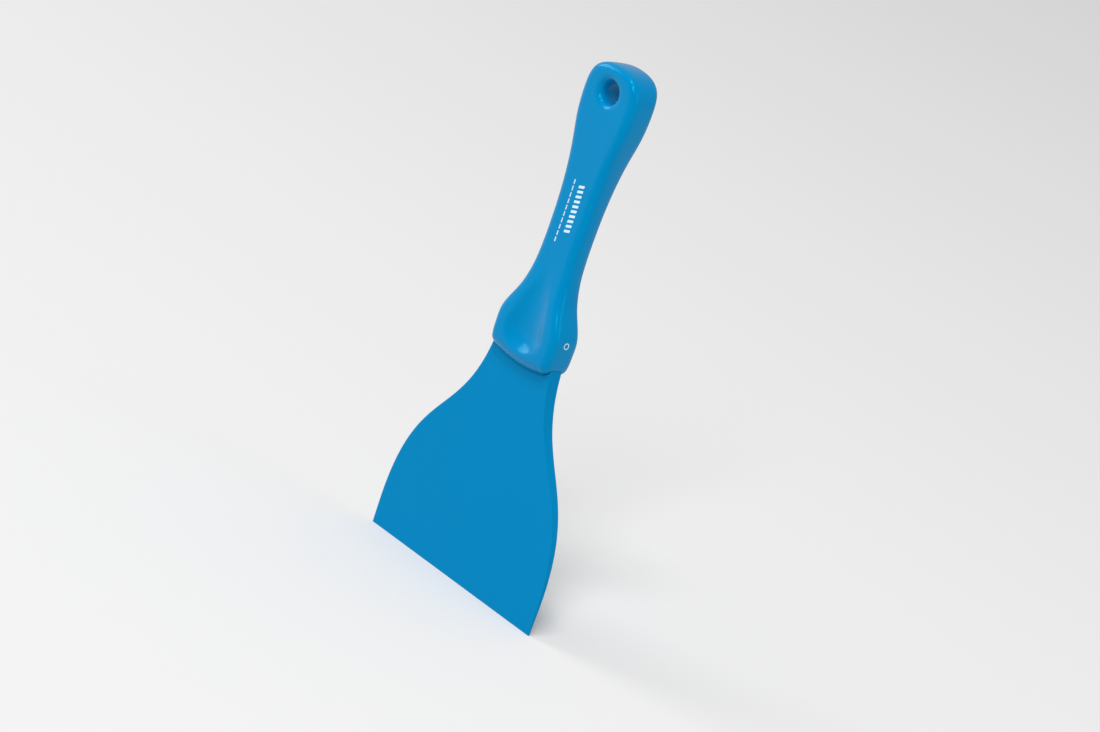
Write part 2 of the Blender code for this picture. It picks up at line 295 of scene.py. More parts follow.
def make_blade_body():
    """The wedge from its edge to the shoulders under the handle's rim."""
    fresh_start()
    bpy.ops.mesh.primitive_cube_add(size=1, location=(0, 0, SIDE_STRAIGHT / 2),
                                    scale=(2 * edge_half, EDGE_THICKNESS, SIDE_STRAIGHT))
    piece = settle(begin(bpy.context.object, "blade_moulding"))
    bpy.ops.object.mode_set(mode="EDIT")
    for half, _ in columns[:-1]:
        for side in (-1, 1):
            bpy.ops.mesh.select_all(action="SELECT")
            bpy.ops.mesh.bisect(plane_co=(side * edge_half * half / NECK_HALF, 0, 0),
                                plane_no=(1, 0, 0))
    pick("FACE", looks_up)
    bpy.ops.transform.resize(value=(1, wedge_thickness(SIDE_STRAIGHT) / EDGE_THICKNESS, 1),
                             center_override=(0, 0, SIDE_STRAIGHT))
    raise_rows((edge_half, SIDE_STRAIGHT, wedge_thickness(SIDE_STRAIGHT)),
               [(half, height, wedge_thickness(height)) for half, height in side_rows()])
    return piece


blade = make_blade_body()
print("blade rows", BLADE_ROWS, "shoulder at", round(shoulder / MM, 1))

# %% [markdown]
# ## The tang
# The tang can't be seen, but it is what holds the blade, so it is made too. The middle of the top
# face goes up at full thickness as the root, thins, and runs on to a round end. Three windows let
# the plastic of the handle meet through it.

# %% Tang: root, taper and round end
TANG_TAPER = 2 * MM
END_TURN = 11
END_STEPS = 8


def bend_shoulders():
    """Pull the lines down so that the top row lies on the arc and corners of the handle's rim."""
    fresh_start()
    for point in blade.data.vertices:
        climb = (point.co.z - shoulder + SHOULDER_FADE) / SHOULDER_FADE
        if climb <= 0:
            continue
        sweep = max(v.co.x for v in blade.data.vertices if abs(v.co.z - point.co.z) < SEAM / 10)
        place = abs(point.co.x) / sweep * NECK_HALF
        half, height = min(columns, key=lambda column: abs(column[0] - place))
        point.co.z -= (shoulder - height) * blend(0, 1, climb)
    for point in blade.data.vertices:
        point.co.y = math.copysign(wedge_thickness(max(point.co.z, 0)) / 2, point.co.y)
    begin(blade)
    bpy.ops.object.mode_set(mode="EDIT")


def tang_rows(half, start, tip, thickness):
    """Rows of a tang above its root: a short taper, the straight stretch and a round end."""
    rows = [(half, start + TANG_TAPER, thickness)]
    for step in range(END_STEPS):
        angle = math.radians(END_TURN * step)
        rows.append((half * math.cos(angle), tip - half * (1 - math.sin(angle)), thickness))
    return rows


def raise_tang():
    """Extrude the root from the middle of the blade's top, and the tang from the root."""
    root_top = rim + ROOT_DEPTH
    pick("FACE", lambda face: looks_up(face, 0.5)
         and abs(face.calc_center_median().x) < ROOT_HALF)
    bpy.ops.mesh.extrude_region_move(TRANSFORM_OT_translate={"value": (0, 0, ROOT_DEPTH)})
    bpy.ops.transform.resize(value=(1, 1, 0), center_override=(0, 0, root_top))
    pick("FACE", lambda face: looks_up(face) and abs(face.calc_center_median().x) < TANG_HALF
         and face.calc_center_median().z > root_top - SEAM)
    raise_rows((TANG_HALF, root_top, NECK_THICKNESS),
               tang_rows(TANG_HALF, root_top, TANG_TOP, TANG_THICKNESS))
    bpy.ops.object.mode_set(mode="OBJECT")


bend_shoulders()
raise_tang()
print("tang top at", round(max(v.co.z for v in blade.data.vertices) / MM, 1))

# %% Tang: windows
WINDOW_HALF = 3.5 * MM
WINDOW_LENGTH = 15 * MM
WINDOW_COUNT = 3
SLOT_DEPTH = 20 * MM
SLOT_BELT = 0.05


def window_heights():
    """Middles of the windows, spaced evenly along the tang."""
    low = rim + ROOT_DEPTH + TANG_TAPER
    pitch = (TANG_TOP - TANG_HALF - low) / WINDOW_COUNT
    return [low + pitch * (number + 0.5) for number in range(WINDOW_COUNT)]


def cut(piece, cutter):
    """Take one closed shape out of another and remove the cutter."""
    use(piece, "BOOLEAN", "cut", object=cutter, operation="DIFFERENCE", solver="EXACT")
    bpy.data.objects.remove(cutter)


def cut_windows(piece, shrink):
    """Open the round-ended windows, smaller by shrink all round."""
    half = WINDOW_HALF - shrink
    straight = WINDOW_LENGTH / 2 - WINDOW_HALF
    for middle in window_heights():
        fresh_start()
        bpy.ops.mesh.primitive_cylinder_add(vertices=32, radius=half, depth=SLOT_DEPTH,
                                            location=(0, 0, middle), rotation=(math.pi / 2, 0, 0))
        slot = settle(bpy.context.object)
        bpy.ops.object.mode_set(mode="EDIT")
        for side in (-1, 1):
            pick("VERT", lambda v: side * (v.co.z - middle) > half * SLOT_BELT)
            bpy.ops.transform.translate(value=(0, 0, side * straight))
        bpy.ops.object.mode_set(mode="OBJECT")
        cut(piece, slot)


cut_windows(blade, 0)
print("windows at", [round(z / MM) for z in window_heights()])

# %% [markdown]
# A moulded edge is never knife sharp, and its tiny radius is what draws the bright line along it.
# A bevel on every sharp edge makes it, and weighted normals keep the big faces flat beside it.

# %% Blade: fine edge radius
BLADE_EDGE = 0.3 * MM
face_out(blade)
use(blade, "BEVEL", "moulded_edge", width=BLADE_EDGE, segments=3, limit_method="ANGLE",
    angle_limit=math.radians(40), use_clamp_overlap=True)
bpy.ops.object.shade_smooth_by_angle(angle=math.radians(40))
use(blade, "WEIGHTED_NORMAL", "flat_faces", keep_sharp=True)
print("blade faces", len(blade.data.polygons))

# %% [markdown]
# ## The handle
# The handle is a soft form with a flat face on each side, and the rounding between face and side
# has the same radius all along. Scaling sections up and down would change that radius, so the
# outline is drawn as one curve instead, filled, and inset step by step: each inset goes in a
# little and forward a little, and together they draw the round edge.

# %% Handle: outline curve
OUTLINE_STEPS = 8
# How far each knot pulls the curve, as a share of the way to the next knot.
BULB_PULL = 0.33
SHOULDER_PULL = 0.15
WAIST_PULL_DOWN = 0.55
WAIST_PULL_UP = 0.75
POMMEL_PULL_DOWN = 0.36
POMMEL_PULL_UP = 0.74
TIP_PULL = 0.65


def outline_knots():
    """Right-hand knots from the rim to the top: place, then the pull before and after it."""
    corner = rim_height(RIM_HALF)
    slope = rim_slope(RIM_HALF)
    rim_pull = RIM_HALF / 3
    bulb = rim + BULB_RISE
    shoulder_z = rim + SHOULDER_RISE
    waist = rim + WAIST_RISE
    pommel = top - POMMEL_DROP
    into = (shoulder_z - bulb) * BULB_PULL
    out = (waist - shoulder_z) * SHOULDER_PULL
    arc = POMMEL_HALF * TIP_PULL
    return [
        ((0, rim), (-rim_pull, 0), (rim_pull, 0)),
        ((RIM_HALF, corner), (-rim_pull, -rim_pull * slope), (CORNER_RUN, CORNER_RUN * slope)),
        ((BULB_HALF, bulb), (0, (corner - bulb) * CORNER_PULL), (0, into)),
        ((SHOULDER_HALF, shoulder_z), (SHOULDER_SLANT * into, -into),
         (-SHOULDER_SLANT * out, out)),
        ((WAIST_HALF, waist), (0, (shoulder_z - waist) * WAIST_PULL_DOWN),
         (0, (pommel - waist) * WAIST_PULL_UP)),
        ((POMMEL_HALF, pommel), (0, (waist - pommel) * POMMEL_PULL_DOWN),
         (0, POMMEL_DROP * POMMEL_PULL_UP)),
        ((0, top), (arc, 0), (-arc, 0)),
    ]


def draw_outline():
    """A closed curve through the knots and their mirror images, made a loop of points."""
    right = outline_knots()
    left = [((-place[0], place[1]), (-after[0], after[1]), (-before[0], before[1]))
            for place, before, after in reversed(right[1:-1])]
    knots = right + left
    fresh_start()
    bpy.ops.curve.primitive_bezier_circle_add(radius=1)
    bpy.ops.object.mode_set(mode="EDIT")
    bpy.ops.curve.subdivide(number_cuts=len(knots) // 4 - 1)
    bpy.ops.object.mode_set(mode="OBJECT")
    curve = bpy.context.object
    curve.data.resolution_u = OUTLINE_STEPS
    for point, (place, before, after) in zip(curve.data.splines[0].bezier_points, knots):
        point.handle_left_type = point.handle_right_type = "FREE"
        point.co = (place[0], 0, place[1])
        point.handle_left = (place[0] + before[0], 0, place[1] + before[1])
        point.handle_right = (place[0] + after[0], 0, place[1] + after[1])
    bpy.ops.object.convert(target="MESH")
    return begin(bpy.context.object, "handle_moulding")


handle = draw_outline()
print("outline points", len(handle.data.vertices))

# %% Handle: side wall and round edge
WALL_DRAFT = 0.12 * MM
WALL_STEPS = ((0.15, 0.5), (0.85, 0.5))
FILLET_STEPS = 4
deepest = max(BULB_THICKNESS, POMMEL_THICKNESS, TIP_THICKNESS) / 2
wall = deepest - EDGE_RADIUS


def make_front_half(piece):
    """Fill the outline and inset it forward: a slightly crowned wall, then the round edge."""
    bpy.ops.object.mode_set(mode="EDIT")
    bpy.ops.mesh.select_all(action="SELECT")
    bpy.ops.mesh.edge_face_add()
    if bmesh.from_edit_mesh(piece.data).faces[:][0].normal.y > 0:
        bpy.ops.mesh.flip_normals()
    steps = [(WALL_DRAFT * inward, wall * forward) for inward, forward in WALL_STEPS]
    for number in range(FILLET_STEPS):
        low = math.radians(90 * number / FILLET_STEPS)
        high = math.radians(90 * (number + 1) / FILLET_STEPS)
        steps.append((EDGE_RADIUS * (math.cos(low) - math.cos(high)),
                      EDGE_RADIUS * (math.sin(high) - math.sin(low))))
    for inward, forward in steps:
        bpy.ops.mesh.inset(thickness=inward, depth=forward, use_even_offset=True)
    bpy.ops.mesh.delete(type="ONLY_FACE")


make_front_half(handle)
front_y = min(v.co.y for v in bmesh.from_edit_mesh(handle.data).verts)
print("front of handle at", round(front_y / MM, 2))

# %% [markdown]
# The flat face is filled with a grid that follows the outline, which gives the thumb scoop an even
# net of points to be pressed into. Grid fill takes its corners from the active point, so that
# point is chosen first: half a row away from the middle of the top.

# %% Handle: grid on the front face
GRID_ACROSS = 2 * OUTLINE_STEPS


def walk_loop(body, start):
    """Points of an open border in order, starting at one of them and going clockwise."""
    loop = [start]
    step = next(edge.other_vert(start) for edge in start.link_edges
                if edge.is_boundary and edge.select and edge.other_vert(start).co.x > start.co.x)
    before = start
    while step is not start:
        loop.append(step)
        ahead = [edge.other_vert(step) for edge in step.link_edges
                 if edge.is_boundary and edge.select]
        step, before = next(v for v in ahead if v is not before), step
    return loop


def fill_front(piece):
    """Fill the border of the front face with a grid of four-sided faces."""
    front = min(v.co.y for v in bmesh.from_edit_mesh(piece.data).verts)
    pick("EDGE", lambda edge: edge.is_boundary
         and all(v.co.y < front + SEAM / 10 for v in edge.verts))
    body = bmesh.from_edit_mesh(piece.data)
    crown = max((v for v in body.verts if v.select), key=lambda v: v.co.z)
    corner = walk_loop(body, crown)[-GRID_ACROSS // 2]
    body.select_history.clear()
    body.select_history.add(corner)
    bmesh.update_edit_mesh(piece.data)
    bpy.ops.mesh.fill_grid(span=GRID_ACROSS, offset=0)


fill_front(handle)
print("faces after the grid", len(bmesh.from_edit_mesh(handle.data).faces))

# %% [markdown]
# ## The hook hole
# Cutting the hole with a Boolean would leave a ragged ring of small faces on a glossy surface.
# Here a block of the grid is taken out, and its border is drawn in to a true circle. The same
# loop is then extruded round the mouth and down the bore.

# %% Handle: hole
BLOCK_HALF = 9.2 * MM
BLOCK_LOW = HOLE_HEIGHT - 10.5 * MM
MOUTH_STEPS = 4


def open_hole(piece):
    """Take out a block of the grid and turn its border into a round, flared mouth and a bore."""
    front = -deepest
    pick("FACE", lambda f: f.calc_center_median().y < front + SEAM
         and abs(f.calc_center_median().x) < BLOCK_HALF and f.calc_center_median().z > BLOCK_LOW
         and f.calc_center_median().z < top - EDGE_RADIUS - WALL_DRAFT)
    bpy.ops.mesh.delete(type="FACE")
    pick("EDGE", lambda edge: edge.is_boundary
         and all(v.co.y < front + SEAM for v in edge.verts))
    bpy.ops.mesh.extrude_edges_move(TRANSFORM_OT_translate={"value": (0, 0, 0)})
    body = bmesh.from_edit_mesh(piece.data)
    crown = max((v for v in body.verts if v.select), key=lambda v: (v.co.z, -abs(v.co.x)))
    loop = walk_loop(body, crown)
    for number, point in enumerate(loop):
        angle = math.pi / 2 - 2 * math.pi * number / len(loop)
        reach = HOLE_RADIUS + MOUTH_RADIUS
        point.co = (reach * math.cos(angle), front, HOLE_HEIGHT + reach * math.sin(angle))
    bmesh.update_edit_mesh(piece.data)
    return len(loop)


def line_bore():
    """Extrude the mouth's rounding and the bore back to the middle of the handle."""
    rings = []
    for number in range(1, MOUTH_STEPS + 1):
        angle = math.radians(90 * number / MOUTH_STEPS)
        rings.append((HOLE_RADIUS + MOUTH_RADIUS * (1 - math.sin(angle)),
                      MOUTH_RADIUS * (1 - math.cos(angle))))
    rings.append((HOLE_RADIUS, (MOUTH_RADIUS + deepest) / 2))
    rings.append((HOLE_RADIUS, deepest))
    radius, depth = HOLE_RADIUS + MOUTH_RADIUS, 0
    for new_radius, new_depth in rings:
        bpy.ops.mesh.extrude_edges_move(TRANSFORM_OT_translate={"value": (0, new_depth - depth, 0)})
        bpy.ops.transform.resize(value=(new_radius / radius, 1, new_radius / radius),
                                 center_override=(0, 0, HOLE_HEIGHT))
        radius, depth = new_radius, new_depth


print("points round the hole", open_hole(handle))
line_bore()

# %% [markdown]
# The back of the handle mirrors the front. The half is mirrored, merged at the middle and
# subdivided twice, which turns the flat steps of the insets into one smooth skin.

# %% Handle: mirror and smooth
bpy.ops.object.mode_set(mode="OBJECT")
use(handle, "MIRROR", "back_half", use_axis=(False, True, False), merge_threshold=0.01 * MM)
face_out(handle)
use(handle, "SUBSURF", "skin", levels=2, render_levels=2)
print("handle faces", len(handle.data.polygons))

# %% [markdown]
# ## Thickness and thumb scoops
# The skin still has the pommel's thickness all along. Each point now moves in to the thickness
# that belongs at its height, and the scoop is pressed in where the thumb rests. Proportional
# editing could press it by hand, but the scoop has a steep wall and a nearly flat floor, which a
# formula states more exactly. The soft step at its lip keeps it free of a hard line.

# %% Handle: thickness profile and scoops
SCOOP_HALF = 12 * MM
SCOOP_DEPTH = 3 * MM
SCOOP_MIDDLE = rim + 15 * MM
SCOOP_BELOW = 9.5 * MM
SCOOP_ABOVE = 27 * MM
SCOOP_TAPER = 0.45
SCOOP_WALL = 2.2
LIP = 0.35 * MM
LIP_REACH = 8
RIM_SOFT = 0.4 * MM
RIM_EASE = 4


def scoop_depth(x, z):
    """How far the scoop presses into the face at a point."""
    rise = z - SCOOP_MIDDLE
    reach = SCOOP_ABOVE if rise > 0 else SCOOP_BELOW
    along = rise / reach
    taper = 1 - SCOOP_TAPER * max(min(along, 1.0), 0.0)
    distance = math.hypot(x / (SCOOP_HALF * taper), along)
    raw = SCOOP_DEPTH * taper * (1 - distance**SCOOP_WALL)
    if raw < -LIP_REACH * LIP:
        return 0.0
    return LIP * math.log1p(math.exp(raw / LIP))


def rim_limit(x, z):
    """How deep the handle may be at a point: the faces curve in to the rim as a quarter ellipse."""
    share = 1 - min(max((z - rim_height(x)) / RIM_ROUND, 0.0), 1.0)
    swell = half_thickness(rim) - RIM_THICKNESS / 2
    return RIM_THICKNESS / 2 + swell * math.sqrt(1 - share * share)


def soft_least(first, second):
    """The smaller of two sizes, with a soft change where they meet."""
    return -RIM_SOFT * math.log(math.exp(-first / RIM_SOFT) + math.exp(-second / RIM_SOFT))


def shape_faces(piece):
    """Thin the handle to its profile, curve it in to the rim and press both scoops."""
    for point in piece.data.vertices:
        side = math.copysign(1, point.co.y)
        depth = abs(point.co.y)
        half = half_thickness(point.co.z)
        straight = half - EDGE_RADIUS
        new_depth = depth * straight / wall if depth < wall else depth - deepest + half
        if point.co.z < rim + 2 * RIM_ROUND:
            ease = RIM_SOFT * max(0, point.co.z - rim) / RIM_ROUND * RIM_EASE
            limit = rim_limit(point.co.x, point.co.z) + ease
            if depth < wall:
                new_depth *= soft_least(straight, limit) / straight
            else:
                new_depth = soft_least(new_depth, limit)
        on_face = min(max((depth - wall) / EDGE_RADIUS, 0.0), 1.0)
        new_depth -= on_face * scoop_depth(point.co.x, point.co.z)
        point.co.y = side * new_depth


shape_faces(handle)
print("scoop floor", round(scoop_depth(0, SCOOP_MIDDLE) / MM, 2))

# %% [markdown]
# ## The pocket for the tang
# The handle closes round the root and the tang. The pocket is their shape, a little larger, and the
# windows in it leave the plugs that lock the two mouldings together. It opens only in the rim, where
# the blade hides it, so here a Boolean does no harm. The cutter is made all triangles before and
# after its windows, because a face with many corners can leave a gap in the cut.

# %% Handle: pocket
POCKET_GAP = 0.1 * MM
POCKET_BELOW = 5 * MM


def make_pocket():
    """The root and tang, grown by the gap, as one closed cutter."""
    low = rim - POCKET_BELOW
    root_top = rim + ROOT_DEPTH + POCKET_GAP
    root_half = ROOT_HALF + POCKET_GAP
    half = TANG_HALF + POCKET_GAP
    thick = wedge_thickness(shoulder) + 2 * POCKET_GAP
    thin = TANG_THICKNESS + 2 * POCKET_GAP
    fresh_start()
    bpy.ops.mesh.primitive_cube_add(size=1, location=(0, 0, (low + root_top) / 2),
                                    scale=(2 * root_half, thick, root_top - low))
    pocket = settle(begin(bpy.context.object, "pocket"))
    bpy.ops.object.mode_set(mode="EDIT")
    for side in (-1, 1):
        bpy.ops.mesh.select_all(action="SELECT")
        bpy.ops.mesh.bisect(plane_co=(side * half, 0, 0), plane_no=(1, 0, 0))
    pick("FACE", lambda face: looks_up(face) and abs(face.calc_center_median().x) < half / 2)
    raise_rows((half, root_top, thick), tang_rows(half, root_top, TANG_TOP + POCKET_GAP, thin))
    bpy.ops.object.mode_set(mode="OBJECT")
    face_out(pocket)
    use(pocket, "TRIANGULATE", "flat_faces")
    cut_windows(pocket, POCKET_GAP)
    use(pocket, "TRIANGULATE", "flat_faces")
    return pocket


cut(handle, make_pocket())
face_out(handle)
bpy.ops.object.shade_smooth_by_angle(angle=math.radians(50))
print("handle triangles", sum(len(p.vertices) - 2 for p in handle.data.polygons))

# %% [markdown]
# ## Printed marks
# The handle carries white printing. What it says isn't repeated: a row of plain slanted bars and a
# dashed rule take its place on the front, and a small plain ring stands on the side. The ink is a
# real, very thin layer that follows the surface, so it stays crisp at any size.

# %% Ink: bars and rule
INK = 0.05 * MM
INK_LIFT = 0.02 * MM
BAR_COUNT = 10
BAR_START = 168.3 * MM
BAR_PITCH = 2.3 * MM
BAR_SIZE = (3.4 * MM, 1.2 * MM)
BAR_SLANT = 0.5 * MM
BAR_X = 2.4 * MM
DASH_COUNT = 10
DASH_START = 162.5 * MM
DASH_PITCH = 3.0 * MM
DASH_SIZE = (0.55 * MM, 2.2 * MM)
DASH_X = -2.6 * MM
TILE_ROUND = 0.2
TILE_CUTS = (-0.25, 0, 0.25)


def lay_tile(x, z, size, slant):
    """One flat tile of ink in front of the handle, with its right end higher than its left."""
    bpy.ops.mesh.primitive_plane_add(size=1, location=(x, -deepest, z),
                                     rotation=(math.pi / 2, 0, 0))
    tile = bpy.context.object
    tile.scale = (size[0], size[1], 1)
    settle(tile)
    bpy.ops.object.mode_set(mode="EDIT")
    bpy.ops.mesh.select_all(action="SELECT")
    bpy.ops.mesh.bevel(offset=min(size) * TILE_ROUND, segments=3, affect="VERTICES")
    for height in TILE_CUTS:
        bpy.ops.mesh.select_all(action="SELECT")
        bpy.ops.mesh.bisect(plane_co=(x, 0, z + height * size[1]), plane_no=(0, 0, 1))
    bpy.ops.object.mode_set(mode="OBJECT")
    for point in tile.data.vertices:
        point.co.z += slant * (point.co.x - x) / size[0] * 2
    return tile


def print_front():
    """All the tiles as one piece, laid on the handle's front."""
    fresh_start()
    tiles = [lay_tile(BAR_X, BAR_START + BAR_PITCH * number, BAR_SIZE, BAR_SLANT)
             for number in range(BAR_COUNT)]
    tiles += [lay_tile(DASH_X, DASH_START + DASH_PITCH * number, DASH_SIZE, 0)
              for number in range(DASH_COUNT)]
    fresh_start()
    for tile in tiles:
        tile.select_set(True)
    bpy.context.view_layer.objects.active = tiles[0]
    bpy.ops.object.join()
    ink = begin(bpy.context.object, "printed_bars")
    for point in ink.data.vertices:
        point.co.y = -half_thickness(point.co.z) - INK_LIFT
    face_out(ink)
    return ink


ink_front = print_front()
print("ink faces", len(ink_front.data.polygons))

# %% Ink: ring on the side
RING_HEIGHT = 121.7 * MM
RING_RADIUS = 1.5 * MM
RING_WIDTH = 0.4 * MM
RING_AHEAD = 2 * MM


def print_side():
    """A flat ring of ink that hugs the handle's right-hand side."""
    fresh_start()
    bpy.ops.mesh.primitive_circle_add(vertices=48, radius=RING_RADIUS, fill_type="NGON",
                                      location=(BULB_HALF + RING_AHEAD, 0, RING_HEIGHT),
                                      rotation=(0, math.pi / 2, 0))
    ring = settle(begin(bpy.context.object, "printed_ring"))
    bpy.ops.object.mode_set(mode="EDIT")
    bpy.ops.mesh.select_all(action="SELECT")
    bpy.ops.mesh.inset(thickness=RING_WIDTH, depth=0)
    bpy.ops.mesh.delete(type="FACE")
    bpy.ops.object.mode_set(mode="OBJECT")
    use(ring, "SHRINKWRAP", "hug", target=handle, wrap_method="PROJECT", use_project_x=True,
        use_positive_direction=True, use_negative_direction=True, offset=INK_LIFT)
    return ring


ink_side = print_side()
for layer in (ink_front, ink_side):
    use(layer, "SOLIDIFY", "ink_film", thickness=INK, offset=0)
print("ring at x", round(ink_side.data.vertices[0].co.x / MM, 2))

# %% [markdown]
# ## Moulded plastic
# Both mouldings are taken to be polypropylene, and both show the same things: a grain too fine to
# see as a shape, a slow drift of colour where the melt cooled unevenly, faint rubs from handling.
# One node group makes these effects, and each material places it with its own colours and amounts.


# %% Shader group
def add(tree, kind, place, **settings):
    """Add a node at a place in a node tree. Settings are node properties."""
    node = tree.nodes.new(kind)
    node.location = place
    for key, value in settings.items():
        setattr(node, key, value)
    return node


def sockets(tree, direction, names):
    for name, kind in names:
        tree.interface.new_socket(name=name, in_out=direction, socket_type=kind)


def make_moulded_group():
    """Colour, roughness and normal of a moulded plastic surface."""
    tree = bpy.data.node_groups.new("moulded_surface", "ShaderNodeTree")
    sockets(tree, "INPUT", [("Colour", "NodeSocketColor"), ("Deep colour", "NodeSocketColor"),
                            ("Low roughness", "NodeSocketFloat"),
                            ("High roughness", "NodeSocketFloat"),
                            ("Grain size", "NodeSocketFloat"), ("Grain depth", "NodeSocketFloat"),
                            ("Rub direction", "NodeSocketVector"),
                            ("Rub amount", "NodeSocketFloat")])
    sockets(tree, "OUTPUT", [("Colour", "NodeSocketColor"), ("Roughness", "NodeSocketFloat"),
                             ("Normal", "NodeSocketVector")])
    into = add(tree, "NodeGroupInput", (-1200, 0))
    out = add(tree, "NodeGroupOutput", (900, 0))
    place = add(tree, "ShaderNodeTexCoord", (-1200, 300)).outputs["Object"]
    link = tree.links.new

    drift = add(tree, "ShaderNodeTexNoise", (-700, 400))
    drift.inputs["Scale"].default_value = 28
    drift.inputs["Detail"].default_value = 2
    link(place, drift.inputs["Vector"])
    tint = add(tree, "ShaderNodeMix", (-300, 400), data_type="RGBA")
    link(drift.outputs["Fac"], tint.inputs["Factor"])
    link(into.outputs["Colour"], tint.inputs["A"])
    link(into.outputs["Deep colour"], tint.inputs["B"])

    grain = add(tree, "ShaderNodeTexNoise", (-700, 0))
    grain.inputs["Detail"].default_value = 3
    grain.inputs["Roughness"].default_value = 0.6
    link(place, grain.inputs["Vector"])
    link(into.outputs["Grain size"], grain.inputs["Scale"])

    stretch = add(tree, "ShaderNodeVectorMath", (-950, -350), operation="MULTIPLY")
    link(place, stretch.inputs[0])
    link(into.outputs["Rub direction"], stretch.inputs[1])
    rubs = add(tree, "ShaderNodeTexNoise", (-700, -350))
    rubs.inputs["Scale"].default_value = 1
    rubs.inputs["Detail"].default_value = 4
    link(stretch.outputs["Vector"], rubs.inputs["Vector"])
    rub_mask = add(tree, "ShaderNodeMapRange", (-450, -350))
    rub_mask.inputs["From Min"].default_value = 0.55
    rub_mask.inputs["From Max"].default_value = 0.75
    link(rubs.outputs["Fac"], rub_mask.inputs["Value"])
    rub = add(tree, "ShaderNodeMath", (-200, -350), operation="MULTIPLY")
    link(rub_mask.outputs["Result"], rub.inputs[0])
    link(into.outputs["Rub amount"], rub.inputs[1])

    spread = add(tree, "ShaderNodeMapRange", (-200, 0))
    link(grain.outputs["Fac"], spread.inputs["Value"])
    link(into.outputs["Low roughness"], spread.inputs["To Min"])
    link(into.outputs["High roughness"], spread.inputs["To Max"])
    rough = add(tree, "ShaderNodeMath", (150, 0), operation="ADD", use_clamp=True)
    link(spread.outputs["Result"], rough.inputs[0])
    link(rub.outputs["Value"], rough.inputs[1])

    height = add(tree, "ShaderNodeMath", (150, -250), operation="SUBTRACT")
    link(grain.outputs["Fac"], height.inputs[0])
    link(rub.outputs["Value"], height.inputs[1])
    bump = add(tree, "ShaderNodeBump", (500, -250))
    bump.inputs["Strength"].default_value = 1
    link(into.outputs["Grain depth"], bump.inputs["Distance"])
    link(height.outputs["Value"], bump.inputs["Height"])

    link(tint.outputs["Result"], out.inputs["Colour"])
    link(rough.outputs["Value"], out.inputs["Roughness"])
    link(bump.outputs["Normal"], out.inputs["Normal"])
    return tree


moulded_surface = make_moulded_group()
print("group sockets", [item.name for item in moulded_surface.interface.items_tree])


# %% Plastic and ink materials
SHEEN_TINT = (0.03, 0.80, 1.0, 1)


def make_plastic(name, settings, specular):
    """A plastic that places the moulded surface with its own settings."""
    material = bpy.data.materials.new(name)
    material.use_nodes = True
    tree = material.node_tree
    shader = tree.nodes["Principled BSDF"]
    surface = add(tree, "ShaderNodeGroup", (-400, 0), node_tree=moulded_surface)
    for key, value in settings.items():
        surface.inputs[key].default_value = value
    tree.links.new(surface.outputs["Colour"], shader.inputs["Base Color"])
    tree.links.new(surface.outputs["Roughness"], shader.inputs["Roughness"])
    tree.links.new(surface.outputs["Normal"], shader.inputs["Normal"])
    shader.inputs["Specular IOR Level"].default_value = specular
    shader.inputs["Specular Tint"].default_value = SHEEN_TINT
    return material


blade_plastic = make_plastic("satin_blue_plastic", {
    "Colour": (0.0, 0.200, 0.440, 1), "Deep colour": (0.0, 0.192, 0.425, 1),
    "Low roughness": 0.38, "High roughness": 0.50, "Grain size": 2600, "Grain depth": 0.00002,
    "Rub direction": (60, 60, 1500), "Rub amount": 0.06}, 0.06)
handle_plastic = make_plastic("glossy_blue_plastic", {
    "Colour": (0.0, 0.206, 0.458, 1), "Deep colour": (0.0, 0.198, 0.442, 1),
    "Low roughness": 0.15, "High roughness": 0.21, "Grain size": 1800, "Grain depth": 0.00001,
    "Rub direction": (700, 700, 60), "Rub amount": 0.05}, 0.3)
ink_white = make_plastic("white_printing_ink", {
    "Colour": (0.62, 0.76, 0.84, 1), "Deep colour": (0.56, 0.72, 0.82, 1),
    "Low roughness": 0.45, "High roughness": 0.6, "Grain size": 5000, "Grain depth": 0.00001,
    "Rub direction": (900, 900, 90), "Rub amount": 0.1}, 0.3)
for piece, material in ((blade, blade_plastic), (handle, handle_plastic),
                        (ink_front, ink_white), (ink_side, ink_white)):
    piece.data.materials.clear()
    piece.data.materials.append(material)
print("materials", [m.name for m in (blade_plastic, handle_plastic, ink_white)])

# %% [markdown]
# ## Every piece joins the frame
# The tool is one rigid body. The blade and the handle stand for the model's own solids, and the ink
# rides with them.

# %% Ride and replace
for piece, node in ((blade, "blade"), (handle, "handle")):
    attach(piece, "root")
    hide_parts(node)
for piece in (ink_front, ink_side):
    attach(piece, "root")
print("pieces ride on root")

# %% [markdown]
# ## Studio
# A pale floor runs to where the view ends, and glows a little to lift its shadows. The room is a
# soft white all round, darker on the side that the camera looks from. A broad lamp at the front
# right casts the soft shadow. Two soft boxes above the front give the small highlights on the rim,
# the hole's mouth and the scoop's lip, and a larger one on each side lights the round edges.

# %% Floor
FLOOR_SIZE = 24
FLOOR_TONE = 0.60
FLOOR_GLOW = 0.14


def make_floor():
    """A large pale floor under the blade's edge."""
    fresh_start()
    bpy.ops.mesh.primitive_plane_add(size=FLOOR_SIZE, location=(0, 0, blade_low.z))
    floor = settle(begin(bpy.context.object, "floor"))
    material = bpy.data.materials.new("pale_floor")
    material.use_nodes = True
    shader = material.node_tree.nodes["Principled BSDF"]
    shader.inputs["Base Color"].default_value = (FLOOR_TONE, FLOOR_TONE, FLOOR_TONE, 1)
    shader.inputs["Roughness"].default_value = 1
    shader.inputs["Specular IOR Level"].default_value = 0
    shader.inputs["Emission Color"].default_value = (1, 1, 1, 1)
    shader.inputs["Emission Strength"].default_value = FLOOR_GLOW
    floor.data.materials.append(material)
    return floor


floor = make_floor()
print("floor at", round(blade_low.z, 4))

